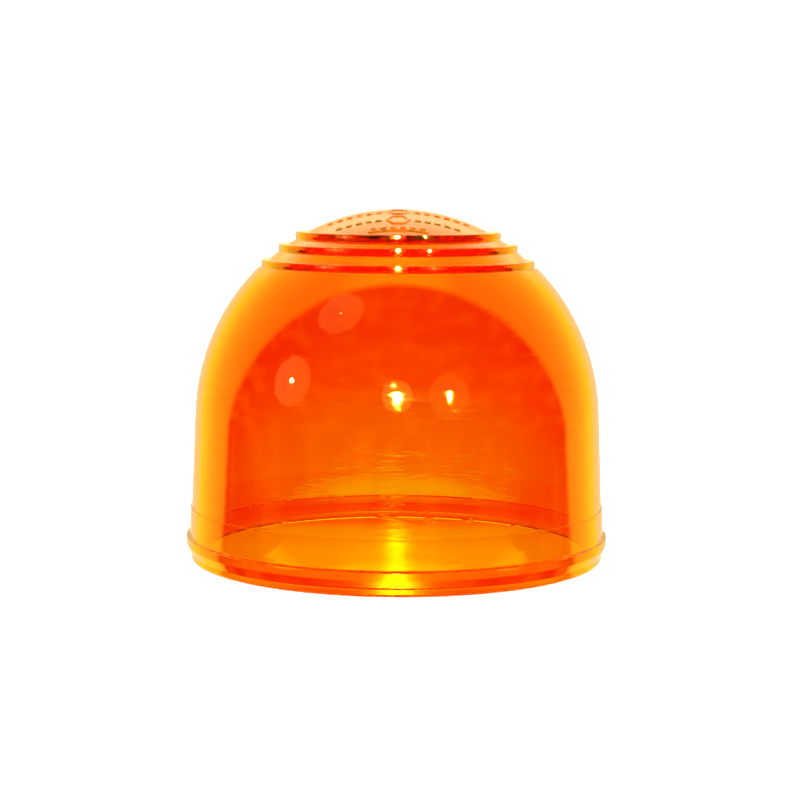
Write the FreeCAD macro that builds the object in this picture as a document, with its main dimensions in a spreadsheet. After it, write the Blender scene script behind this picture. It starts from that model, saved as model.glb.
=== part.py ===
# Amber lens of a rotating warning beacon: one hollow injection moulding, open at the bottom.
# The axis of the dome is +Z, and the origin is the centre of the rim that it stands on.
import FreeCAD, Part
import math
import os

import Sketcher

doc = FreeCAD.newDocument("BeaconLens")

# Driving sizes in millimetres, and the draft in degrees.
sizes = {
    "totalHeight": 116.8,  # rim to the top of the crown
    "lipRadius": 71.0,  # the widest place, where a clamp ring grips
    "lipTop": 8.0,  # height of the lip's upper edge
    "lipLand": 2.8,  # straight outer face of the lip
    "skirtInset": 1.5,  # the skirt below the lip stands in from the lip by this
    "skirtLand": 2.2,  # straight outer face of the skirt
    "collarInset": 1.1,  # the wall directly above the lip stands in from the lip by this
    "collarHeight": 17.65,  # height of the fine step in the outer wall
    "stepDepth": 0.35,
    "draftAngle": 2.3,  # the outer wall leans in by this
    "wallThickness": 2.8,
    "shoulderRadius": 72.1,  # arc between the wall and the crown
    "crownRadius": 63.9,  # sphere of the crown
    "innerRing": 34.3,  # radius of the smallest terrace
    "ringPitch": 5.7,  # each terrace is wider than the one above by this
    "ringRise": 2.45,  # height of each terrace's upright face
    "ledgeWidth": 0.9,  # flat between the shoulder and the widest terrace
    "rimRound": 0.8,  # outer edge of the rim
    "edgeRound": 0.4,  # upper edges of the lip and of the terraces
    "legendRaise": 0.4,  # the legend stands off the crown by this
    "markWidth": 1.9,
    "markDepth": 2.2,
    "markGap": 1.3,
    "badgeSize": 8.2,  # across the corners of the six-sided badge in a row's middle
    "badgeLine": 0.9,
    "firstRow": 10.4,  # each legend row lies this far in front of the axis
    "secondRow": 19.6,
    "thirdRow": 25.6,
    "underlineGap": 0.6,
    "underlineDepth": 0.7,
}
ringCount = 3
badgeSides = 6
marksEachSide = {"firstRow": 6, "secondRow": 5, "thirdRow": 3}  # from the middle outwards

sheet = doc.addObject("Spreadsheet::Sheet", "Sizes")
for line, (alias, number) in enumerate(sizes.items(), start=1):
    sheet.set(f"A{line}", alias)
    sheet.set(f"B{line}", str(number))
    sheet.setAlias(f"B{line}", alias)
doc.recompute()


def cell(alias):
    """A size from the sheet, as a length in an expression."""
    return f"Sizes.{alias} * 1mm"


def value(expression):
    """What an expression of the sizes comes to, in millimetres or degrees."""
    found = sheet.evalExpression(expression.replace("Sizes.", ""))
    return getattr(found, "Value", found)


# Places that several features share, each an expression of the sizes.
onAxis = atRim = "0mm"
wallLean = "Sizes.draftAngle * 1deg"
lipRadius = cell("lipRadius")
skirtRadius = f"({lipRadius} - {cell('skirtInset')})"
collarRadius = f"({lipRadius} - {cell('collarInset')})"
stepRadius = f"({collarRadius} - ({cell('collarHeight')} - {cell('lipTop')}) * tan({wallLean}))"
wallRadius = f"({stepRadius} - {cell('stepDepth')})"
boreRadius = f"({wallRadius} - {cell('wallThickness')})"
crownCentre = f"({cell('totalHeight')} - {cell('crownRadius')})"


def ringRadius(index):
    """Radius of a terrace, counted from 0 at the top."""
    return f"({cell('innerRing')} + {index} * {cell('ringPitch')})"


def ringFoot(index):
    """Height at which a terrace's upright face leaves the crown's sphere."""
    return f"({crownCentre} + sqrt(({cell('crownRadius')})^2 - {ringRadius(index)}^2))"


def ringTop(index):
    return f"({ringFoot(index)} + {cell('ringRise')})"


def ringReach(index):
    """Radius at which a terrace's flat top runs in to the crown's sphere."""
    return f"sqrt(({cell('crownRadius')})^2 - ({ringTop(index)} - {crownCentre})^2)"


ledgeRadius = f"({ringRadius(ringCount - 1)} + {cell('ledgeWidth')})"
ledgeHeight = ringFoot(ringCount - 1)


def newSketch(body, name, role):
    """A sketch on one of its body's own origin planes."""
    sketch = body.newObject("Sketcher::SketchObject", name)
    sketch.AttachmentSupport = [([f for f in body.Origin.OriginFeatures if f.Role == role][0], "")]
    sketch.MapMode = "FlatFace"
    return sketch


def bind(sketch, name, expression, kind, *places):
    """A named constraint whose value follows an expression of the sizes."""
    amount = value(expression)
    if kind == "Angle":
        amount = math.radians(amount)
    index = sketch.addConstraint(Sketcher.Constraint(kind, *places, amount))
    sketch.renameConstraint(index, name)
    sketch.setExpression(f"Constraints.{name}", expression)


class HalfSection:
    """A closed outline in a sketch, drawn from edge to edge, with the axis of the moulding as its upright."""

    origin, across, upright = (-1, 1), -1, -2

    def __init__(self, sketch):
        self.sketch = sketch
        self.edges = []

    def pin(self, edge, name, radius, height):
        """Ties the start of an edge to a radius and a height."""
        if radius == onAxis:
            self.sketch.addConstraint(Sketcher.Constraint("PointOnObject", edge, 1, self.upright))
        elif radius:
            bind(self.sketch, f"{name}Radius", radius, "DistanceX", *self.origin, edge, 1)
        if height == atRim:
            self.sketch.addConstraint(Sketcher.Constraint("PointOnObject", edge, 1, self.across))
        else:
            bind(self.sketch, f"{name}Height", height, "DistanceY", *self.origin, edge, 1)

    def add(self, geometry, join="Coincident"):
        edge = self.sketch.addGeometry(geometry)
        if self.edges:
            self.sketch.addConstraint(Sketcher.Constraint(join, self.edges[-1], 2, edge, 1))
        self.edges.append(edge)
        return edge

    def close(self):
        self.sketch.addConstraint(Sketcher.Constraint("Coincident", self.edges[-1], 2, self.edges[0], 1))

    def run(self, corners, then):
        """Straight edges from corner to corner, each (name, radius, height), and on to the point then."""
        points = [spot(radius, height) for _, radius, height in corners] + [then]
        for (name, radius, height), here, there in zip(corners, points, points[1:]):
            self.pin(self.add(Part.LineSegment(here, there)), name, radius, height)

    def crown(self, name, radius, height, here, there):
        """An arc about a centre on the axis, up from here to there."""
        middle = (here.x**2 - there.x**2 + here.y**2 - there.y**2) / (2 * (here.y - there.y))
        edge = self.add(arc(FreeCAD.Vector(0, middle, 0), here, there))
        self.pin(edge, name, radius, height)
        self.sketch.addConstraint(Sketcher.Constraint("PointOnObject", edge, 3, self.upright))

    def wallAndShoulder(self, name, radius, height, centre, size, top):
        """The leaning wall, and the arc tangent to it that ends at top. Gives the arc."""
        lean = math.radians(value(wallLean))
        bend = centre + FreeCAD.Vector(math.cos(lean), math.sin(lean), 0) * value(size)
        wall = self.add(Part.LineSegment(spot(radius, height), bend))
        self.pin(wall, name, radius, height)
        bind(self.sketch, f"{name}Direction", f"90deg + {wallLean}", "Angle", wall)
        shoulder = self.add(arc(centre, bend, top), "Tangent")
        bind(self.sketch, f"{name}Shoulder", size, "Radius", shoulder)
        return shoulder


def spot(radius, height):
    return FreeCAD.Vector(value(radius), value(height), 0)


def arc(centre, here, there):
    """An arc that runs anticlockwise from here to there."""
    start, end = (math.atan2(p.y - centre.y, p.x - centre.x) for p in (here, there))
    circle = Part.Circle(centre, FreeCAD.Vector(0, 0, 1), centre.distanceToPoint(here))
    return Part.ArcOfCircle(circle, start, end)


def shoulderCentre():
    """Where the shoulder's centre lies, so that its arc meets the wall and ends at the ledge."""
    lean = math.radians(value(wallLean))
    size = value(cell("shoulderRadius"))
    upwards = FreeCAD.Vector(-math.sin(lean), math.cos(lean), 0)
    inwards = FreeCAD.Vector(-math.cos(lean), -math.sin(lean), 0)
    start = spot(wallRadius, cell("collarHeight")) + inwards * size
    gap = start - spot(ledgeRadius, ledgeHeight)
    back = gap.dot(upwards)
    return start - upwards * (back + math.sqrt(back**2 - gap.dot(gap) + size**2))


def outerSection(body, centre):
    """The lens's outside as a solid half section. Its shoulder's height is kept for the inside."""
    section = HalfSection(newSketch(body, "OuterSection", "XZ_Plane"))
    foot = [
        ("axisFoot", onAxis, atRim),
        ("rim", skirtRadius, atRim),
        ("skirt", skirtRadius, cell("skirtLand")),
        ("lipUnder", lipRadius, f"{cell('lipTop')} - {cell('lipLand')}"),
        ("lipUpper", lipRadius, cell("lipTop")),
        ("collar", collarRadius, cell("lipTop")),
        ("step", stepRadius, cell("collarHeight")),
    ]
    section.run(foot, spot(wallRadius, cell("collarHeight")))
    ledge = spot(ledgeRadius, ledgeHeight)
    shoulder = section.wallAndShoulder(
        "wall", wallRadius, cell("collarHeight"), centre, cell("shoulderRadius"), ledge
    )
    step = [("ledge", ledgeRadius, ledgeHeight)]
    for index in reversed(range(ringCount)):
        step.append((f"foot{index}", ringRadius(index), ringFoot(index)))
        step.append((f"top{index}", ringRadius(index), ringTop(index)))
        reach = spot(ringReach(index), ringTop(index))
        section.run(step, reach)
        step = []
        inward = (ringRadius(index - 1), ringFoot(index - 1)) if index else (onAxis, cell("totalHeight"))
        beyond = spot(*inward)
        section.crown(f"reach{index}", ringReach(index), ringTop(index), reach, beyond)
    section.run([("apex", onAxis, cell("totalHeight"))], spot(onAxis, atRim))
    section.close()
    height = Sketcher.Constraint("DistanceY", *section.origin, shoulder, 3, centre.y)
    kept = section.sketch.addConstraint(height)
    section.sketch.setDriving(kept, False)
    section.sketch.renameConstraint(kept, "shoulderCentre")
    return section.sketch


def innerSection(body, centre):
    """The cavity: a straight bore at the mouth, then a wall, shoulder and vault inside the outer ones."""
    section = HalfSection(newSketch(body, "InnerSection", "XZ_Plane"))
    wall = cell("wallThickness")
    mouth = [("axisFoot", onAxis, atRim), ("mouth", boreRadius, atRim)]
    section.run(mouth, spot(boreRadius, cell("collarHeight")))
    size = f"{cell('shoulderRadius')} - {wall}"
    vaultHeight = f"{ledgeHeight} - {wall}"
    across = math.sqrt(value(size) ** 2 - (value(vaultHeight) - centre.y) ** 2)
    vault = FreeCAD.Vector(centre.x + across, value(vaultHeight), 0)
    shoulder = section.wallAndShoulder("bore", boreRadius, cell("collarHeight"), centre, size, vault)
    outerCentre = "OuterSection.Constraints.shoulderCentre"
    bind(section.sketch, "centreHeight", outerCentre, "DistanceY", *section.origin, shoulder, 3)
    apex = f"{cell('totalHeight')} - {wall}"
    section.crown("vault", None, vaultHeight, vault, spot(onAxis, apex))
    section.run([("apex", onAxis, apex)], spot(onAxis, atRim))
    section.close()
    return section.sketch


def turned(body, kind, name, sketch):
    """A full turn of a half section about the axis: a Revolution adds, a Groove cuts."""
    feature = body.newObject(f"PartDesign::{kind}", name)
    feature.Profile = sketch
    feature.ReferenceAxis = (sketch, ["V_Axis"])
    feature.Angle = 360
    doc.recompute()
    return feature


def polygon(sketch, name, corners, across, row):
    """A regular outline round a point in front of the axis, with across from corner to corner."""
    centre = FreeCAD.Vector(0, -value(row), 0)
    radius = value(across) / 2
    turns = [2 * math.pi * i / corners for i in range(corners + 1)]
    points = [centre + FreeCAD.Vector(math.cos(t), math.sin(t), 0) * radius for t in turns]
    circle = sketch.addGeometry(Part.Circle(centre, FreeCAD.Vector(0, 0, 1), radius), True)
    sides = [sketch.addGeometry(Part.LineSegment(a, b)) for a, b in zip(points, points[1:])]
    for this, following in zip(sides, sides[1:] + sides[:1]):
        sketch.addConstraint(Sketcher.Constraint("Coincident", this, 2, following, 1))
        sketch.addConstraint(Sketcher.Constraint("PointOnObject", this, 1, circle))
    for side in sides[1:]:
        sketch.addConstraint(Sketcher.Constraint("Equal", sides[0], side))
    sketch.addConstraint(Sketcher.Constraint("Horizontal", circle, 3, sides[0], 1))
    sketch.addConstraint(Sketcher.Constraint("PointOnObject", circle, 3, -2))
    bind(sketch, f"{name}Row", row, "DistanceY", circle, 3, -1, 1)
    bind(sketch, f"{name}Size", f"({across}) / 2", "Radius", circle)


def oblong(sketch, name, left, wide, row, deep):
    """An upright rectangle: its left side from the axis, and its middle line in front of the axis."""
    x, y = value(left), -value(row) - value(deep) / 2
    width, depth = value(wide), value(deep)
    turns = ((0, 0), (1, 0), (1, 1), (0, 1), (0, 0))
    corners = [FreeCAD.Vector(x + i * width, y + j * depth, 0) for i, j in turns]
    sides = [sketch.addGeometry(Part.LineSegment(a, b)) for a, b in zip(corners, corners[1:])]
    for side, following, way in zip(sides, sides[1:] + sides[:1], ("Horizontal", "Vertical") * 2):
        sketch.addConstraint(Sketcher.Constraint("Coincident", side, 2, following, 1))
        sketch.addConstraint(Sketcher.Constraint(way, side))
    bind(sketch, f"{name}Wide", wide, "DistanceX", sides[0], 1, sides[0], 2)
    bind(sketch, f"{name}Deep", deep, "DistanceY", sides[1], 1, sides[1], 2)
    bind(sketch, f"{name}Row", f"{row} + ({deep}) / 2", "DistanceY", sides[0], 1, -1, 1)
    bind(sketch, f"{name}Left", left, "DistanceX", -1, 1, sides[0], 1)


def risen(body, sketch, name):
    """Stands a flat outline up to the height of the legend's highest point."""
    feature = body.newObject("PartDesign::Pad", name)
    feature.Profile = sketch
    feature.setExpression("Length", f"{cell('totalHeight')} + {cell('legendRaise')}")
    doc.recompute()
    return feature


def legend(body):
    """Three rows of plain raised marks on the front of the crown. They carry no words or figures."""
    badges = newSketch(body, "Badges", "XY_Plane")
    for row in ("firstRow", "secondRow"):
        polygon(badges, f"{row}Badge", badgeSides, cell("badgeSize"), cell(row))
        inner = f"{cell('badgeSize')} - 2 * {cell('badgeLine')}"
        polygon(badges, f"{row}Inside", badgeSides, inner, cell(row))
    risen(body, badges, "BadgePad")
    pitch = f"({cell('markWidth')} + {cell('markGap')})"
    for row, count in marksEachSide.items():
        sketch = newSketch(body, f"{row}Mark", "XY_Plane")
        first = f"{cell('markGap')} / 2"
        if row != "thirdRow":
            first = f"{cell('badgeSize')} / 2 + {cell('markGap')}"
        oblong(sketch, "mark", first, cell("markWidth"), cell(row), cell("markDepth"))
        pad = risen(body, sketch, f"{row}Pad")
        both = body.newObject("PartDesign::MultiTransform", f"{row}Marks")
        along = body.newObject("PartDesign::LinearPattern", f"{row}Along")
        along.Direction = (sketch, ["H_Axis"])
        along.Mode = "Spacing"
        along.setExpression("Offset", pitch)
        along.Occurrences = count
        mirror = body.newObject("PartDesign::Mirrored", f"{row}Mirror")
        mirror.MirrorPlane = (sketch, ["V_Axis"])
        both.Originals = [pad]
        both.Transformations = [along, mirror]
        body.Tip = both
        doc.recompute()
    underline = newSketch(body, "Underline", "XY_Plane")
    span = f"{marksEachSide['thirdRow']} * {pitch}"
    belowMarks = f"{cell('markDepth')} / 2 + {cell('underlineGap')} + {cell('underlineDepth')} / 2"
    row = f"{cell('thirdRow')} + {belowMarks}"
    oblong(underline, "line", f"0mm - {span}", f"2 * {span}", row, cell("underlineDepth"))
    risen(body, underline, "UnderlinePad")


def trimSection(body):
    """Everything above a skin over the crown, as thick as the legend is raised."""
    section = HalfSection(newSketch(body, "LegendTrim", "XZ_Plane"))
    skin = f"({cell('crownRadius')} + {cell('legendRaise')})"
    reach = ringReach(0)
    low = f"{crownCentre} + sqrt({skin}^2 - ({reach})^2)"
    apex = f"{cell('totalHeight')} + {cell('legendRaise')}"
    top = f"{apex} + {cell('legendRaise')}"
    section.crown("skin", reach, low, spot(reach, low), spot(onAxis, apex))
    section.run([("apex", onAxis, apex), ("lid", onAxis, top), ("side", reach, top)], spot(reach, low))
    section.close()
    return section.sketch


def roundEdges(body, name, amount, circles):
    """Rounds whole circular edges, each given by its radius and its height."""
    base = body.Tip
    found = []
    for number, edge in enumerate(base.Shape.Edges, start=1):
        if edge.Degenerated or not isinstance(edge.Curve, Part.Circle):
            continue
        here = (edge.Curve.Radius, edge.Curve.Center.z)
        if any(math.dist(here, (value(r), value(z))) < 1e-4 for r, z in circles):
            found.append(f"Edge{number}")
    feature = body.newObject("PartDesign::Fillet", name)
    feature.Base = (base, found)
    feature.setExpression("Radius", amount)
    doc.recompute()
    return feature


def checked():
    """Stops on any object that failed, or a lens that isn't one closed solid."""
    doc.recompute()
    for item in doc.Objects:
        if {"Invalid", "Error"} & set(item.State):
            raise RuntimeError(f"{item.Name}: {item.State}")
    shape = lens.Shape
    if shape.isNull() or not shape.isValid() or len(shape.Solids) != 1:
        raise RuntimeError("the lens is not one valid solid")
    return shape


lens = doc.addObject("PartDesign::Body", "Lens")
lens.Label = "lens"
centre = shoulderCentre()
turned(lens, "Revolution", "Outside", outerSection(lens, centre))
upperEdges = [(lipRadius, cell("lipTop"))] + [(ringRadius(i), ringTop(i)) for i in range(ringCount)]
roundEdges(lens, "EdgeRounds", cell("edgeRound"), upperEdges)
roundEdges(lens, "RimRound", cell("rimRound"), [(skirtRadius, atRim)])
legend(lens)
turned(lens, "Groove", "LegendSkin", trimSection(lens))
filled = checked().Volume
turned(lens, "Groove", "Cavity", innerSection(lens, centre))
lens.Placement = FreeCAD.Placement()
shape = checked()
if shape.Volume > filled / 2:
    raise RuntimeError("the cavity was not cut")
print(f"{lens.Label}: {shape.Volume:.0f} cubic mm, bore radius {value(boreRadius):.3f} mm")
os.makedirs("parts", exist_ok=True)
shape.exportStep(f"parts/{lens.Label}.step")
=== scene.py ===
import math

import bmesh
import bpy
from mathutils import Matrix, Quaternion, Vector


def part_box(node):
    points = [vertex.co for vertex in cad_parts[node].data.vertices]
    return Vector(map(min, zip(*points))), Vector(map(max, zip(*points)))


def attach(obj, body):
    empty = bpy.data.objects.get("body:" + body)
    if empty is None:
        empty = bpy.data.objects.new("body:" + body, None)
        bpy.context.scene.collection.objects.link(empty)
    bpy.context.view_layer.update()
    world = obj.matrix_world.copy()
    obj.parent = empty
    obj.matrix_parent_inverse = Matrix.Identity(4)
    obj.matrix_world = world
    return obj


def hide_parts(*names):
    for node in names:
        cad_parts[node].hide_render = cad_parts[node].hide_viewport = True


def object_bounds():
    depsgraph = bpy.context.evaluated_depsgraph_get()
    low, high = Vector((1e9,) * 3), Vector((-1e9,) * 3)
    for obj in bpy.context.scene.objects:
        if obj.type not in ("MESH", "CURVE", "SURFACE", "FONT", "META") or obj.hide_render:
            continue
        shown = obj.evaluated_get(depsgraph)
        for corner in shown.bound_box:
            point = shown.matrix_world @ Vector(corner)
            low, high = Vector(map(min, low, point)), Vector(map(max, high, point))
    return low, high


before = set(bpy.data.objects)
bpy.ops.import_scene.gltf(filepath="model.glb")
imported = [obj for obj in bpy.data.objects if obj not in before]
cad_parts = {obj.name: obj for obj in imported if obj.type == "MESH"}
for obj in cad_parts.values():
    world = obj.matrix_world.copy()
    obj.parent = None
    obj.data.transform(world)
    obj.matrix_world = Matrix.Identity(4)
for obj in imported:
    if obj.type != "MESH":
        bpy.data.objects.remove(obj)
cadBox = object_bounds()
mm = 0.001


def linear(hexColour):
    # sRGB hex to the linear colour that the sockets take
    parts = [int(hexColour[i:i + 2], 16) / 255 for i in (0, 2, 4)]
    return [p / 12.92 if p <= 0.04045 else ((p + 0.055) / 1.055) ** 2.4 for p in parts] + [1]


def addNode(tree, kind, settings=None, links=None):
    # one node with its settings (properties or socket values) and its incoming links
    made = tree.nodes.new(kind)
    for name, value in (settings or {}).items():
        if name == "stops":
            # (place, colour) pairs of a ramp, eased from one to the next
            made.color_ramp.interpolation = "EASE"
            elements = made.color_ramp.elements
            while len(elements) < len(value):
                elements.new(0.5)
            for element, (at, colour) in zip(elements, value):
                element.position = at
                element.color = colour
        elif isinstance(name, int) or name in made.inputs:
            made.inputs[name].default_value = value
        else:
            setattr(made, name, value)
    for name, source in (links or {}).items():
        tree.links.new(source if hasattr(source, "is_output") else source.outputs[0], made.inputs[name])
    return made


lensSizes = {
    "height": 116.8,          # mm, and so are the rest unless they say otherwise
    "wall": 2.8,
    "lipTop": 8.0,
    "lipLand": 2.8,
    "skirtInset": 1.5,
    "skirtLand": 2.2,
    "collarInset": 1.1,
    "collarHeight": 17.65,
    "stepDepth": 0.35,
    "draft": 2.3,             # degrees that the wall leans in
    "shoulderRadius": 72.1,
    "crownRadius": 63.9,
    "smallRing": 34.3,
    "ringPitch": 5.7,
    "ringRise": 2.45,
    "ringCount": 3,
    "ledge": 0.9,
    "gate": (1.6, 0.12),      # radius and depth of the trimmed gate mark on top
    "bulge": 0.12,            # the ring faces are a touch barrel-shaped from shrinkage
    "bulgeSpan": (0.15, 0.75),  # the share of a ring's rise that bulges
    "bulgeSteps": 6,
    "legendSide": 74,         # degrees each side of the front that hold the raised marks
    "fineTurn": 0.68,         # degrees between two edges there
    "coarseTurn": 1.45,       # and round the rest
    "arcStep": 1.6,           # outline between two points of a long arc
    "legendStep": 0.34,       # the same where the raised marks are
    "cornerSteps": 3,
}

roundings = {
    "rimInside": 0.4,
    "rimOutside": 0.8,
    "skirtTop": 0.9,
    "lipUnder": 0.5,
    "lipTop": 0.4,
    "lipFoot": 0.4,
    "step": 0.07,             # sharp, where two parts of the mould meet
    "ledge": 0.4,
    "ringFoot": 0.2,
    "ringEdge": 0.4,
    "treadFoot": 0.5,
}

legendSizes = {
    "rise": 0.4,
    "edge": 0.12,             # soft edge of each mark, inside and outside its line
    "markWidth": 1.9,
    "markDepth": 2.2,
    "markGap": 1.3,
    "badge": 4.1,             # centre to corner
    "badgeLine": 0.9,
    "rows": ((10.4, 6, True), (19.6, 5, True), (25.6, 3, False)),   # distance forward, marks a side, badge
    "underline": (27.65, 9.6, 0.35),                                # distance, half length, half width
    "crownEdge": 31,          # no marks beyond this radius, this far back or this far to a side
    "backEdge": -5,
    "sideEdge": 26,
}


def arcPoints(centre, radius, start, end, step):
    count = max(2, math.ceil(abs(end - start) * radius / step))
    angles = [start + (end - start) * i / count for i in range(count + 1)]
    return [(centre[0] + radius * math.cos(a), centre[1] + radius * math.sin(a), 0) for a in angles]


def lensOutline(s, lipRadius):
    # half section, (radius, height, rounding), from the crown's top down the outside to the rim
    # and back up the inside, whose arcs are smooth enough with longer steps
    height = s["height"]
    lean = math.radians(s["draft"])
    skirt = lipRadius - s["skirtInset"]
    collar = lipRadius - s["collarInset"]
    stepRadius = collar - (s["collarHeight"] - s["lipTop"]) * math.tan(lean)
    wallRadius = stepRadius - s["stepDepth"]
    bore = wallRadius - s["wall"]
    crownSize = s["crownRadius"]
    crownZ = height - crownSize
    rings = [s["smallRing"] + i * s["ringPitch"] for i in range(s["ringCount"])]
    feet = [crownZ + math.sqrt(crownSize ** 2 - r ** 2) for r in rings]

    # the shoulder's centre lies a radius in from the leaning wall, and its arc ends at the ledge
    ledge = Vector((rings[-1] + s["ledge"], feet[-1]))
    upWall = Vector((-math.sin(lean), math.cos(lean)))
    inward = Vector((math.cos(lean), math.sin(lean))) * s["shoulderRadius"]
    foot = Vector((wallRadius, s["collarHeight"])) - inward
    gap = foot - ledge
    back = gap.dot(upWall)
    centre = foot - upWall * (back + math.sqrt(back ** 2 - gap.dot(gap) + s["shoulderRadius"] ** 2))

    outside = [
        (bore, 0, roundings["rimInside"]),
        (skirt, 0, roundings["rimOutside"]),
        (skirt, s["skirtLand"], roundings["skirtTop"]),
        (lipRadius, s["lipTop"] - s["lipLand"], roundings["lipUnder"]),
        (lipRadius, s["lipTop"], roundings["lipTop"]),
        (collar, s["lipTop"], roundings["lipFoot"]),
        (stepRadius, s["collarHeight"], roundings["step"]),
        (wallRadius, s["collarHeight"], roundings["step"]),
    ]
    top = math.atan2(ledge.y - centre.y, ledge.x - centre.x)
    outside += arcPoints(centre, s["shoulderRadius"], lean, top, s["arcStep"])[:-1]
    outside.append((ledge.x, ledge.y, roundings["ledge"]))
    low, high = s["bulgeSpan"]
    for i in reversed(range(s["ringCount"])):
        ringTop = feet[i] + s["ringRise"]
        reach = math.sqrt(crownSize ** 2 - (ringTop - crownZ) ** 2)
        outside.append((rings[i], feet[i], roundings["ringFoot"]))
        for k in range(s["bulgeSteps"] + 1):
            share = k / s["bulgeSteps"]
            out = s["bulge"] * (1 - (2 * share - 1) ** 2)
            outside.append((rings[i] + out, feet[i] + s["ringRise"] * (low + (high - low) * share), 0))
        outside.append((rings[i], ringTop, roundings["ringEdge"]))
        outside.append((reach, ringTop, roundings["treadFoot"]))
        start = math.acos(reach / crownSize)
        end = math.acos(rings[i - 1] / crownSize) if i else math.pi / 2
        step = s["arcStep"] if i else s["legendStep"]
        outside += arcPoints((0, crownZ), crownSize, start, end, step)[1:-1]
    outside.append((0, height, 0))

    vaultZ = ledge.y - s["wall"]
    innerSize = s["shoulderRadius"] - s["wall"]
    innerStep = s["arcStep"] * 1.5
    vaultR = centre.x + math.sqrt(innerSize ** 2 - (vaultZ - centre.y) ** 2)
    apex = height - s["wall"]
    vaultSize = (vaultR ** 2 + (apex - vaultZ) ** 2) / (2 * (apex - vaultZ))
    turn = math.atan2(vaultZ - centre.y, vaultR - centre.x)
    inside = [(bore, s["collarHeight"], 0)]
    inside += arcPoints(centre, innerSize, lean, turn, innerStep)
    turn = math.atan2(vaultZ - apex + vaultSize, vaultR)
    inside += arcPoints((0, apex - vaultSize), vaultSize, turn, math.pi / 2, innerStep)[1:-1]
    inside.append((0, apex, 0))
    return outside[::-1] + inside


def roundCorners(outline, steps):
    # each corner that has a rounding becomes a short arc
    made = []
    for i, (x, z, size) in enumerate(outline):
        here = Vector((x, z))
        if not size:
            made.append(here)
            continue
        one = Vector(outline[i - 1][:2]) - here
        two = Vector(outline[i + 1][:2]) - here
        half = one.angle(two) / 2
        reach = min(size / math.tan(half), one.length * 0.49, two.length * 0.49)
        size = reach * math.tan(half)
        middle = here + (one.normalized() + two.normalized()).normalized() * size / math.sin(half)
        first = here + one.normalized() * reach - middle
        last = here + two.normalized() * reach - middle
        a = math.atan2(first.y, first.x)
        turn = (math.atan2(last.y, last.x) - a + math.pi) % (2 * math.pi) - math.pi
        for k in range(steps + 1):
            b = a + turn * k / steps
            made.append(middle + Vector((math.cos(b), math.sin(b))) * size)
    return made


def legendMarks(s):
    # oblongs as (x, y, half width, half depth) and badges as (x, y)
    oblongs = []
    badges = []
    pitch = s["markWidth"] + s["markGap"]
    for forward, count, badge in s["rows"]:
        first = (s["badge"] if badge else -s["markGap"] / 2) + s["markGap"] + s["markWidth"] / 2
        for k in range(count):
            for side in (-1, 1):
                oblongs.append((side * (first + k * pitch), -forward, s["markWidth"] / 2, s["markDepth"] / 2))
        if badge:
            badges.append((0, -forward))
    forward, halfLength, halfWidth = s["underline"]
    oblongs.append((0, -forward, halfLength, halfWidth))
    return oblongs, badges


def legendHeight(x, y, marks, s):
    # how far the raised legend stands up at a place on the crown
    nearest = s["sideEdge"]
    for mx, my, w, d in marks[0]:
        nearest = min(nearest, max(abs(x - mx) - w, abs(y - my) - d))
    for mx, my in marks[1]:
        px, py = abs(x - mx), abs(y - my)
        outer = max(py, px * math.sin(math.pi / 3) + py * 0.5) - s["badge"] * math.sin(math.pi / 3)
        nearest = min(nearest, max(outer, -outer - s["badgeLine"]))
    t = min(1, max(0, 0.5 - nearest / (2 * s["edge"])))
    return s["rise"] * t * t * (3 - 2 * t)


def buildLens():
    low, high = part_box("lens")
    lipRadius = (high.x - low.x) / 2 / mm
    outline = roundCorners(lensOutline(lensSizes, lipRadius), lensSizes["cornerSteps"])
    marks = legendMarks(legendSizes)
    gateRadius, gateDepth = lensSizes["gate"]
    # edges lie closer together on the front, where the marks need them
    side, fine, coarse = (lensSizes[k] for k in ("legendSide", "fineTurn", "coarseTurn"))
    fineCount, coarseCount = round(2 * side / fine), round((360 - 2 * side) / coarse)
    turns = [math.radians(-90 - side + 2 * side * k / fineCount) for k in range(fineCount)]
    turns += [math.radians(-90 + side + (360 - 2 * side) * k / coarseCount) for k in range(coarseCount)]
    segments = len(turns)
    body = bmesh.new()
    rows = []
    onOutside = True
    for point in outline:
        onOutside = onOutside and point.x < legendSizes["crownEdge"]
        row = []
        for t in turns[:1] if point.x < 1e-6 else turns:
            x, y = point.x * math.cos(t), point.x * math.sin(t)
            raised = 0
            if onOutside and y < legendSizes["backEdge"] and abs(x) < legendSizes["sideEdge"]:
                raised = legendHeight(x, y, marks, legendSizes)
            if onOutside and point.x < gateRadius:
                raised = -gateDepth
            row.append(body.verts.new((x * mm, y * mm, (point.y + raised) * mm)))
        rows.append(row)
    for upper, lower in zip(rows, rows[1:]):
        for j in range(segments):
            k = (j + 1) % segments
            corners = [row[at % len(row)] for row, at in ((upper, j), (lower, j), (lower, k), (upper, k))]
            body.faces.new(list(dict.fromkeys(corners)))
    bmesh.ops.recalc_face_normals(body, faces=body.faces)
    for face in body.faces:
        face.smooth = True
    mesh = bpy.data.meshes.new("lensDome")
    body.to_mesh(mesh)
    body.free()
    piece = bpy.data.objects.new("lensDome", mesh)
    bpy.context.scene.collection.objects.link(piece)
    even = piece.modifiers.new("evenShading", "WEIGHTED_NORMAL")
    even.mode = "FACE_AREA"
    even.keep_sharp = False
    print("lens dome:", len(mesh.vertices), "vertices", len(mesh.polygons), "faces")
    return piece


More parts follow.
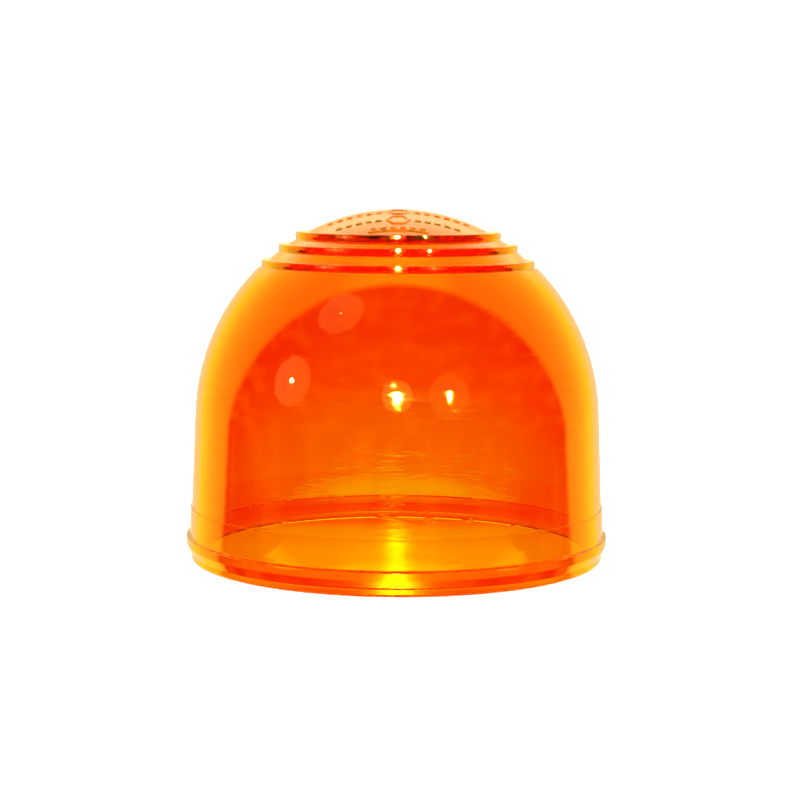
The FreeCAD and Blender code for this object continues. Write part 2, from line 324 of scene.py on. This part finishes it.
amber = {
    "ior": 1.49,              # acrylic
    "roughness": 0.02,
    "wornRoughness": 0.09,
    "reflection": "ffd840",
    "depthColour": "ffe500",
    "depthDensity": 2500.0,   # per metre, so one wall is orange and two are nearly red
    "swellGap": 25.0,         # mm between two swells of the wall
    "swellHeight": 0.1,
    "swellStrength": 0.35,
    "scratchGap": 1.1,        # mm, real ones lie closer than 0.1 and would be too fine to show
    "scratchHeight": 0.02,
    "scratchStrength": 0.8,
    "scratchShape": (0.12, 0.12, 1),   # they run round the dome, so the pattern is long sideways
    "scratchSpan": (0.56, 0.7),        # and only its highest part is a scratch
    "wornPatch": 18.0,        # mm across
    "wornSpan": (0.44, 0.62),
}


def amberAcrylicPolished():
    # acrylic tinted through its mass and moulded in a polished tool: clear and deep, so its colour
    # comes from how much plastic the light crosses, and edges and corners run to red
    material = bpy.data.materials.new("amberAcrylicPolished")
    material.use_nodes = True
    tree = material.node_tree
    tree.nodes.clear()
    place = addNode(tree, "ShaderNodeTexCoord").outputs["Object"]
    # slow swells, as a filled mould leaves
    swell = addNode(tree, "ShaderNodeTexNoise", {"Scale": 1 / (amber["swellGap"] * mm), "Detail": 1.0},
                    {"Vector": place})
    swellBump = addNode(tree, "ShaderNodeBump", {
        "Distance": amber["swellHeight"] * mm, "Strength": amber["swellStrength"],
    }, {"Height": swell.outputs["Fac"]})
    # handling scratches, drawn coarser than they are and only in patches
    ringwise = addNode(tree, "ShaderNodeMapping", {"Scale": amber["scratchShape"]}, {"Vector": place})
    scratch = addNode(tree, "ShaderNodeTexNoise", {"Scale": 1 / (amber["scratchGap"] * mm), "Detail": 2.0},
                      {"Vector": ringwise})
    patches = addNode(tree, "ShaderNodeTexNoise", {"Scale": 1 / (amber["wornPatch"] * mm), "Detail": 2.0},
                      {"Vector": place})
    low, high = amber["wornSpan"]
    worn = addNode(tree, "ShaderNodeMapRange", {"From Min": low, "From Max": high},
                   {"Value": patches.outputs["Fac"]})
    low, high = amber["scratchSpan"]
    fine = addNode(tree, "ShaderNodeMapRange", {"From Min": low, "From Max": high},
                   {"Value": scratch.outputs["Fac"]})
    marked = addNode(tree, "ShaderNodeMath", {"operation": "MULTIPLY"}, {0: worn, 1: fine})
    scratchBump = addNode(tree, "ShaderNodeBump", {
        "Distance": amber["scratchHeight"] * mm, "Strength": amber["scratchStrength"],
    }, {"Height": marked, "Normal": swellBump})
    rough = addNode(tree, "ShaderNodeMapRange", {
        "To Min": amber["roughness"], "To Max": amber["wornRoughness"],
    }, {"Value": marked})
    shader = addNode(tree, "ShaderNodeBsdfPrincipled", {
        "Base Color": linear("ffffff"),
        "Transmission Weight": 1.0,
        "IOR": amber["ior"],
        "Specular Tint": linear(amber["reflection"]),
    }, {"Roughness": rough, "Normal": scratchBump})
    depth = addNode(tree, "ShaderNodeVolumeAbsorption", {
        "Color": linear(amber["depthColour"]), "Density": amber["depthDensity"],
    })
    addNode(tree, "ShaderNodeOutputMaterial", None, {"Surface": shader, "Volume": depth})
    print("material:", material.name)
    return material


camera = {
    "aim": (0.00093, 0, 0.0526),   # metres
    "distance": 0.6695,
    "elevation": 6.748,       # degrees
    "roll": 0.355,
    "lens": 89.3,             # mm
    "sensor": 36,
    "nearest": 0.01,
    "farthest": 50,
}


def buildCamera():
    data = bpy.data.cameras.new("camera")
    data.lens = camera["lens"]
    data.sensor_width = camera["sensor"]
    data.clip_start = camera["nearest"]
    data.clip_end = camera["farthest"]
    holder = bpy.data.objects.new("camera", data)
    e = math.radians(camera["elevation"])
    back = Vector((0, -math.cos(e), math.sin(e)))
    holder.location = Vector(camera["aim"]) + back * camera["distance"]
    holder.rotation_mode = "QUATERNION"
    turned = (-back).to_track_quat("-Z", "Y")
    holder.rotation_quaternion = turned @ Quaternion((0, 0, 1), math.radians(camera["roll"]))
    bpy.context.scene.collection.objects.link(holder)
    bpy.context.scene.camera = holder
    print("camera:", camera["lens"], "mm lens,", camera["distance"], "m away")


# the room as it mirrors in the dome: dim in front, bright walls on both sides and overhead
walls = {
    "front": 0.15,
    "blotch": 1.0,            # uneven light on the dim side
    "blotchShape": (2.4, 2.4, 6.5),
    "blotchScale": 1.6,       # by direction, so it has no size in mm
    "blotchSpan": (0.42, 0.68),
    "bright": 4.8,
    "edge": (0.226, 0.326),   # how far back the bright part starts, along +Y
    "lift": 0.45,             # and how much sooner it starts overhead
    "behind": 1.6,
    "behindSpread": (0.7, 0.97),
    "paint": "ffce2a",
    "palePaint": "ffe0a0",    # straight behind, and up behind
    "paleSpread": (0.75, 0.97),
    "paleLean": 35,           # degrees up from the back
    "paleLeanSpread": (0.82, 0.95),
    "paleFrom": (0.15, 0.5),
    "onFloor": 5.0,           # soft light that falls on the floor
    "backdrop": 1.6,          # what the camera sees behind it
    "above": 4.0,             # more light near the zenith
    "aboveLean": 100,         # degrees up from the back
    "aboveFrom": (0.86, 1.0),
}

# the light that comes through the dome: a soft lit patch low on the wall behind, then even light
through = {
    "patch": -12.0,           # elevation of the patch's middle, degrees
    "squeeze": (0.5, 1, 1),   # the patch is a wide one
    "reach": 60.0,            # degrees, colour and strength by degrees from the patch's middle
    "stops": ((0.0, "5bff1b", 9.0), (1.9, "5bff1b", 9.0), (2.3, "70ff22", 6.0), (2.7, "97ff34", 3.0),
              (3.2, "a8ff37", 2.45), (4.2, "abff37", 2.3), (4.8, "b6ff38", 2.0), (6.2, "f0ff42", 1.1),
              (8.2, "ffca32", 0.93), (11.0, "fffa3a", 0.94), (20.0, "caff35", 1.7), (60.0, "d2ff35", 1.7)),
    "overhead": ("ff8e21", 1.3),
    "overheadFrom": (0.35, 0.75),
}

# ramp colours stay under 1, so they are divided by this and their shader gives it back
rampScale = 8.0


def scaled(colour, strength):
    # a colour of any strength, small enough for a ramp
    return [c * strength / rampScale for c in linear(colour)[:3]] + [1]


def buildStudioLight():
    world = bpy.data.worlds.new("studio")
    bpy.context.scene.world = world
    world.use_nodes = True
    tree = world.node_tree
    tree.nodes.clear()
    place = addNode(tree, "ShaderNodeTexCoord")
    way = place.outputs["Generated"]
    axes = addNode(tree, "ShaderNodeSeparateXYZ", None, {0: way})
    path = addNode(tree, "ShaderNodeLightPath")

    squeezed = addNode(tree, "ShaderNodeVectorMath", {"operation": "MULTIPLY", 1: through["squeeze"]}, {0: way})
    narrow = addNode(tree, "ShaderNodeVectorMath", {"operation": "NORMALIZE"}, {0: squeezed})
    # how nearly a ray goes each way, with elevations up from the back
    near = {}
    for name, elevation, source in (
        ("back", -camera["elevation"], way),
        ("upBack", walls["paleLean"], way),
        ("above", walls["aboveLean"], way),
        ("patch", through["patch"], narrow.outputs["Vector"]),
    ):
        e = math.radians(elevation)
        towards = (0, math.cos(e), math.sin(e))
        near[name] = addNode(tree, "ShaderNodeVectorMath", {"operation": "DOT_PRODUCT", 1: towards},
                             {0: source}).outputs["Value"]
    lifted = addNode(tree, "ShaderNodeMath", {"operation": "MULTIPLY_ADD", 1: walls["lift"]},
                     {0: axes.outputs["Z"], 2: axes.outputs["Y"]})
    stretched = addNode(tree, "ShaderNodeMapping", {"Scale": walls["blotchShape"]}, {"Vector": way})
    cloud = addNode(tree, "ShaderNodeTexNoise", {"Scale": walls["blotchScale"], "Detail": 3.0},
                    {"Vector": stretched})
    # soft steps from one level to another
    soft = {}
    for name, source, spread, low, high in (
        ("toWalls", lifted.outputs[0], walls["edge"], 0, 1),
        ("behind", near["back"], walls["behindSpread"], walls["bright"], walls["behind"]),
        ("dim", cloud.outputs["Fac"], walls["blotchSpan"], walls["front"], walls["front"] + walls["blotch"]),
        ("above", near["above"], walls["aboveFrom"], 0, walls["above"]),
        ("nearBack", near["back"], walls["paleSpread"], 0, 1),
        ("up", axes.outputs["Z"], walls["paleFrom"], 0, 1),
        ("upBack", near["upBack"], walls["paleLeanSpread"], 0, 1),
        ("overhead", axes.outputs["Z"], through["overheadFrom"], 0, 1),
    ):
        soft[name] = addNode(tree, "ShaderNodeMapRange", {
            "interpolation_type": "SMOOTHSTEP", "From Min": spread[0], "From Max": spread[1],
            "To Min": low, "To Max": high,
        }, {"Value": source})

    # what mirrors in the dome
    bright = addNode(tree, "ShaderNodeMath", {"operation": "ADD"}, {0: soft["behind"], 1: soft["above"]})
    mirrored = addNode(tree, "ShaderNodeMix", None, {0: soft["toWalls"], 2: soft["dim"], 3: bright})
    upBack = addNode(tree, "ShaderNodeMath", {"operation": "MULTIPLY"}, {0: soft["up"], 1: soft["upBack"]})
    pale = addNode(tree, "ShaderNodeMath", {"operation": "MAXIMUM"}, {0: soft["nearBack"], 1: upBack})
    paint = addNode(tree, "ShaderNodeMix", {
        "data_type": "RGBA", 6: linear(walls["paint"]), 7: linear(walls["palePaint"]),
    }, {0: pale})
    roomLight = addNode(tree, "ShaderNodeBackground", None, {"Color": paint.outputs[2], "Strength": mirrored})

    # what shows through it
    turn = addNode(tree, "ShaderNodeMath", {"operation": "ARCCOSINE"}, {0: near["patch"]})
    share = addNode(tree, "ShaderNodeMath", {"operation": "DIVIDE", 1: math.radians(through["reach"])},
                    {0: turn})
    stops = [(at / through["reach"], scaled(colour, strength)) for at, colour, strength in through["stops"]]
    patchRamp = addNode(tree, "ShaderNodeValToRGB", {"stops": stops}, {"Fac": share})
    mixed = addNode(tree, "ShaderNodeMix", {"data_type": "RGBA", 7: scaled(*through["overhead"])},
                    {0: soft["overhead"], 6: patchRamp.outputs["Color"]})
    throughLight = addNode(tree, "ShaderNodeBackground", {"Strength": rampScale},
                           {"Color": mixed.outputs[2]})

    # what falls on the floor, and what the camera sees behind it
    over = addNode(tree, "ShaderNodeBackground", {"Color": linear("ffffff"), "Strength": walls["onFloor"]})
    seen = addNode(tree, "ShaderNodeBackground", {"Color": linear("ffffff"), "Strength": walls["backdrop"]})
    one = addNode(tree, "ShaderNodeMixShader", None,
                  {0: path.outputs["Is Transmission Ray"], 1: roomLight, 2: throughLight})
    two = addNode(tree, "ShaderNodeMixShader", None, {0: path.outputs["Is Diffuse Ray"], 1: one, 2: over})
    three = addNode(tree, "ShaderNodeMixShader", None, {0: path.outputs["Is Camera Ray"], 1: two, 2: seen})
    addNode(tree, "ShaderNodeOutputWorld", None, {"Surface": three})
    print("studio light: room, patch and backdrop")


floor = {
    "paper": "f4f2ee",
    "roughness": 0.9,
    "radius": 3.0,
    "gap": 0.0002,            # under the rim, so that the two don't touch
    "padRadius": 0.0672,      # the part under the dome, which shows through it
    # painted light: the glow painted on the pad for the coloured light that comes through the dome
    "paintedPadLight": ((0.0, "ff7c27", 1.0), (0.05, "ffa52b", 1.0), (0.2, "f8ff45", 1.0), (0.55, "cfff3f", 1.5),
                (0.8, "deff41", 1.4), (0.95, "ff9527", 1.0)),   # from back to front
    "sides": 720,
}


def buildFloor():
    # uncoated sheet, calendered without gloss: an even pale ground with no highlight
    paper = bpy.data.materials.new("whitePaperMatt")
    paper.use_nodes = True
    surface = paper.node_tree.nodes["Principled BSDF"]
    surface.inputs["Base Color"].default_value = linear(floor["paper"])
    surface.inputs["Roughness"].default_value = floor["roughness"]
    # the same sheet under the dome with painted light: it glows evenly from back to front where the coloured
    # light through the dome would land, and no lamp lights it
    lit = bpy.data.materials.new("paperPaintedDomeLight")
    lit.use_nodes = True
    lit.cycles.emission_sampling = "NONE"
    tree = lit.node_tree
    tree.nodes.clear()
    spot = addNode(tree, "ShaderNodeTexCoord")
    depth = addNode(tree, "ShaderNodeSeparateXYZ", None, {0: spot.outputs["Object"]})
    forward = addNode(tree, "ShaderNodeMapRange", {
        "From Min": floor["padRadius"], "From Max": -floor["padRadius"],
    }, {"Value": depth.outputs["Y"]})
    stops = [(at, scaled(colour, strength)) for at, colour, strength in floor["paintedPadLight"]]
    padRamp = addNode(tree, "ShaderNodeValToRGB", {"stops": stops}, {"Fac": forward})
    shine = addNode(tree, "ShaderNodeEmission", {"Strength": rampScale}, {"Color": padRamp.outputs["Color"]})
    addNode(tree, "ShaderNodeOutputMaterial", None, {"Surface": shine})

    sides = floor["sides"]
    turns = [2 * math.pi * k / sides for k in range(sides)]
    # the pad under the dome carries the painted light; the floor round it is plain paper
    for name, inner, outer in (("floor", floor["padRadius"], floor["radius"]), ("pad", 0, floor["padRadius"])):
        mesh = bpy.data.meshes.new(name)
        rim = [(math.cos(t) * outer, math.sin(t) * outer, 0) for t in turns]
        if inner:
            hole = [(math.cos(t) * inner, math.sin(t) * inner, 0) for t in turns]
            faces = [(k, (k + 1) % sides, sides + (k + 1) % sides, sides + k) for k in range(sides)]
            mesh.from_pydata(hole + rim, [], faces)
        else:
            mesh.from_pydata(rim, [], [list(range(sides))])
        sheet = bpy.data.objects.new(name, mesh)
        sheet.location.z = cadBox[0].z - floor["gap"]
        sheet.visible_glossy = sheet.visible_transmission = not inner
        bpy.context.scene.collection.objects.link(sheet)
        mesh.materials.append(paper if inner else lit)
    print("floor:", floor["radius"], "m, with the part under the dome apart")


# painted light of the flash on the paper in front, by metres from the rim
paintedFlashLight = {
    "start": 0.0712,          # radius that it starts from
    "curveTo": 0.07,          # and it follows the rim's curve this far to each side
    "reach": 0.3,
    "halfWidth": (0.06, 0.9),           # at the rim, and how it spreads
    "cells": (48, 60),
    "glow": ((0.0, 0.0), (0.03, 0.5), (0.06, 2.0), (0.07, 15.0), (0.085, 13.0), (0.105, 5.0), (0.16, 2.5),
             (0.25, 0.0)),
    "glowWidth": 0.14,
    "streak": ((0.0, 60.0), (0.07, 50.0), (0.085, 22.0), (0.12, 26.0), (0.15, 40.0), (0.2, 14.0), (0.27, 0.0)),
    "streakWidth": (0.006, 0.072),      # at the rim, and how it spreads
    "haze": (2.4, 0.12),                # a wider and weaker streak round it
    "colour": "ffd820",
}


def level(stops, at):
    # straight lines between the stops
    for (a, low), (b, high) in zip(stops, stops[1:]):
        if at <= b:
            return low + (high - low) * (at - a) / (b - a)
    return stops[-1][1]


def buildPaintedFlashLight():
    # a painted pool of flash light on the same sheet in front: a glowing sheet that no lamp lights and only
    # reflections see, bright near the rim with a streak that spreads, so it mirrors as a warm band in the lower
    # wall
    glow = bpy.data.materials.new("paperPaintedFlashLight")
    glow.use_nodes = True
    glow.cycles.emission_sampling = "NONE"
    tree = glow.node_tree
    tree.nodes.clear()
    total = addNode(tree, "ShaderNodeAttribute", {"attribute_name": "light"}).outputs["Fac"]
    shine = addNode(tree, "ShaderNodeEmission", {"Color": linear(paintedFlashLight["colour"])}, {"Strength": total})
    clear = addNode(tree, "ShaderNodeBsdfTransparent")
    both = addNode(tree, "ShaderNodeAddShader", None, {0: shine, 1: clear})
    addNode(tree, "ShaderNodeOutputMaterial", None, {"Surface": both})
    mesh = bpy.data.meshes.new("paintedFlashLight")
    across, deep = paintedFlashLight["cells"]
    start = paintedFlashLight["start"]
    hazeWidth, hazeShare = paintedFlashLight["haze"]
    points = []
    light = []
    for j in range(deep + 1):
        d = paintedFlashLight["reach"] * j / deep
        side = paintedFlashLight["halfWidth"][0] + paintedFlashLight["halfWidth"][1] * d
        width = paintedFlashLight["streakWidth"][0] + paintedFlashLight["streakWidth"][1] * d
        for i in range(across + 1):
            u = 2 * i / across - 1
            x = u * abs(u) * side               # cells are finer in the middle
            y = -math.sqrt(start ** 2 - min(paintedFlashLight["curveTo"], abs(x)) ** 2) - d
            points.append((x, y, 0))
            core = math.exp(-(x / width) ** 2) + hazeShare * math.exp(-(x / width / hazeWidth) ** 2)
            fade = math.exp(-(x / paintedFlashLight["glowWidth"]) ** 2)
            light.append(level(paintedFlashLight["glow"], d) * fade + level(paintedFlashLight["streak"], d) * core)
    row = across + 1
    mesh.from_pydata(points, [], [(k, k + row, k + row + 1, k + 1) for j in range(deep)
                                  for k in range(j * row, j * row + across)])
    mesh.attributes.new("light", "FLOAT", "POINT").data.foreach_set("value", light)
    mesh.materials.append(glow)
    patch = bpy.data.objects.new("paintedFlashLight", mesh)
    patch.location.z = cadBox[0].z
    # the painted light is hidden from the camera and shows only as a painted reflection
    patch.visible_camera = patch.visible_diffuse = patch.visible_shadow = patch.visible_transmission = False
    bpy.context.scene.collection.objects.link(patch)
    print("flash patch:", len(points), "points")


lampAim = (0, 0, 0.07)
shadeGap = 0.01               # each shade stands this far behind its bulb

# lamps by direction from the dome: azimuth from the front towards +X, elevation, metres away, disc
# size, watts, and the same for the pale shade round each
lamps = {
    "flash": {"azimuth": 0.0, "elevation": 15.3, "distance": 0.7, "size": 0.045, "power": 75.0,
              "shade": 0.2, "shadePower": 0.35},
    "leftLamp": {"azimuth": -62.0, "elevation": 17.6, "distance": 0.9, "size": 0.03, "power": 14.0,
                 "shade": 0.36, "shadePower": 0.55},
    "rightLamp": {"azimuth": 29.0, "elevation": 14.6, "distance": 0.9, "size": 0.028, "power": 20.0,
                  "shade": 0.36, "shadePower": 0.4},
    "highReflector": {"azimuth": -51.9, "elevation": 54.2, "distance": 0.9, "size": 0.02, "power": 0.02,
                      "shade": 0.36, "shadePower": 0.4},
}


def buildLamps():
    aim = Vector(lampAim)
    for name, lamp in lamps.items():
        a, e = math.radians(lamp["azimuth"]), math.radians(lamp["elevation"])
        away = Vector((math.sin(a) * math.cos(e), -math.cos(a) * math.cos(e), math.sin(e)))
        for part, size, power, setBack in (
            ("Bulb", "size", "power", 0), ("Shade", "shade", "shadePower", shadeGap),
        ):
            data = bpy.data.lights.new(name + part, "AREA")
            data.shape = "DISK"
            data.size = lamp[size]
            data.energy = lamp[power]
            light = bpy.data.objects.new(name + part, data)
            light.location = aim + away * (lamp["distance"] + setBack)
            light.rotation_mode = "QUATERNION"
            light.rotation_quaternion = away.to_track_quat("Z", "Y")
            light.visible_diffuse = light.visible_camera = light.visible_transmission = False
            bpy.context.scene.collection.objects.link(light)
    print("lamps:", len(lamps))


# clear plastic needs many bounces, or corners that the light crosses often turn black
bounces = {
    "max_bounces": 40,
    "transmission_bounces": 36,
    "glossy_bounces": 12,
    "blur_glossy": 0.2,
}

dome = buildLens()
dome.data.materials.append(amberAcrylicPolished())
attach(dome, "root")
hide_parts("lens")
buildStudioLight()
buildFloor()
buildPaintedFlashLight()
buildLamps()
buildCamera()
scene = bpy.context.scene
scene.view_settings.view_transform = "Standard"
for name, value in bounces.items():
    setattr(scene.cycles, name, value)
